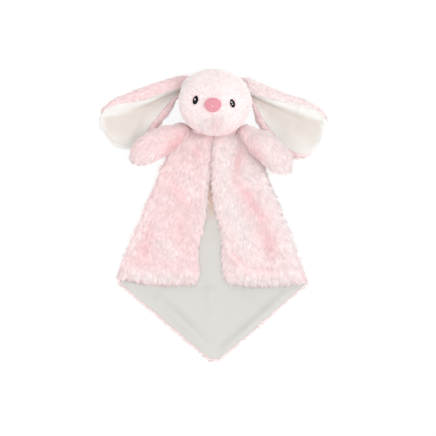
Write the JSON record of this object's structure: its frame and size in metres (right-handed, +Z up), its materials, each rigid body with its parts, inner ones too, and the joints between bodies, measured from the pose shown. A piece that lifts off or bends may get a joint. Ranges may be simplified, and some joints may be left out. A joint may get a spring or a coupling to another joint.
{
  "type": "comfort blanket lovey",
  "caption": "Plush rabbit comforter: stuffed head and arms on a two-layer blanket with lop ears and two folded flaps that open.",
  "frame": {"origin": "middle of the toy in plan, on the surface that it lies on", "axes": "+Z up out of the toy's face, +Y towards the crown of the head, +X towards the toy's own left side, which is the right of the picture"},
  "size_m": [0.2688, 0.3528, 0.0816],
  "materials": {
    "pink_plush": "pale pink long-pile plush, matt",
    "cream_velour": "cream short-pile velour, soft sheen",
    "nose_velour": "rose short-pile velour, padded",
    "black_thread": "black embroidery thread, satin stitch",
    "white_thread": "white embroidery thread",
    "stuffing": "white polyester fibre filling"
  },
  "bodies": {
    "root": {"blanket_back_fur": "pink_plush", "blanket_back_lining": "cream_velour", "neck_pad": "pink_plush", "left_flap_top_fur": "pink_plush", "left_flap_top_lining": "cream_velour", "right_flap_top_fur": "pink_plush", "right_flap_top_lining": "cream_velour"},
    "head": {"head_cover": "pink_plush", "head_stuffing": "stuffing", "nose": "nose_velour", "nose_stitch": "white_thread", "left_eye": "black_thread", "left_eye_glint": "white_thread", "right_eye": "black_thread", "right_eye_glint": "white_thread"},
    "left_ear": {"left_ear_back": "pink_plush", "left_ear_lining": "cream_velour"},
    "right_ear": {"right_ear_back": "pink_plush", "right_ear_lining": "cream_velour"},
    "left_arm": {"left_arm_cover": "pink_plush", "left_arm_stuffing": "stuffing"},
    "right_arm": {"right_arm_cover": "pink_plush", "right_arm_stuffing": "stuffing"},
    "left_flap": {"left_flap_fur": "pink_plush", "left_flap_lining": "cream_velour"},
    "right_flap": {"right_flap_fur": "pink_plush", "right_flap_lining": "cream_velour"}
  },
  "joints": [
    {"name": "head_tilt", "type": "hinge", "parent": "root", "child": "head", "pos_m": [0.001, 0.13511, 0.0355], "axis": [0, 0, 1], "range_deg": [-10, 10]},
    {"name": "left_ear_swing", "type": "hinge", "parent": "head", "child": "left_ear", "pos_m": [-0.0377, 0.1513, 0.008], "axis": [0, 0, -1], "range_deg": [0, 50]},
    {"name": "right_ear_swing", "type": "hinge", "parent": "head", "child": "right_ear", "pos_m": [0.0397, 0.1501, 0.008], "axis": [0, 0, 1], "range_deg": [0, 50]},
    {"name": "left_arm_lift", "type": "hinge", "parent": "root", "child": "left_arm", "pos_m": [-0.03688, 0.10252, 0.0188], "axis": [-0.4602, 0.8878, 0], "range_deg": [0, 50]},
    {"name": "right_arm_lift", "type": "hinge", "parent": "root", "child": "right_arm", "pos_m": [0.03661, 0.10035, 0.0188], "axis": [-0.5948, -0.8039, 0], "range_deg": [0, 50]},
    {"name": "left_flap_open", "type": "hinge", "parent": "root", "child": "left_flap", "pos_m": [-0.09545, -0.01769, 0.00775], "axis": [-0.3927, -0.9197, 0], "range_deg": [0, 170]},
    {"name": "right_flap_open", "type": "hinge", "parent": "root", "child": "right_flap", "pos_m": [0.09052, -0.0211, 0.00775], "axis": [-0.3592, 0.9333, 0], "range_deg": [0, 170]}
  ]
}
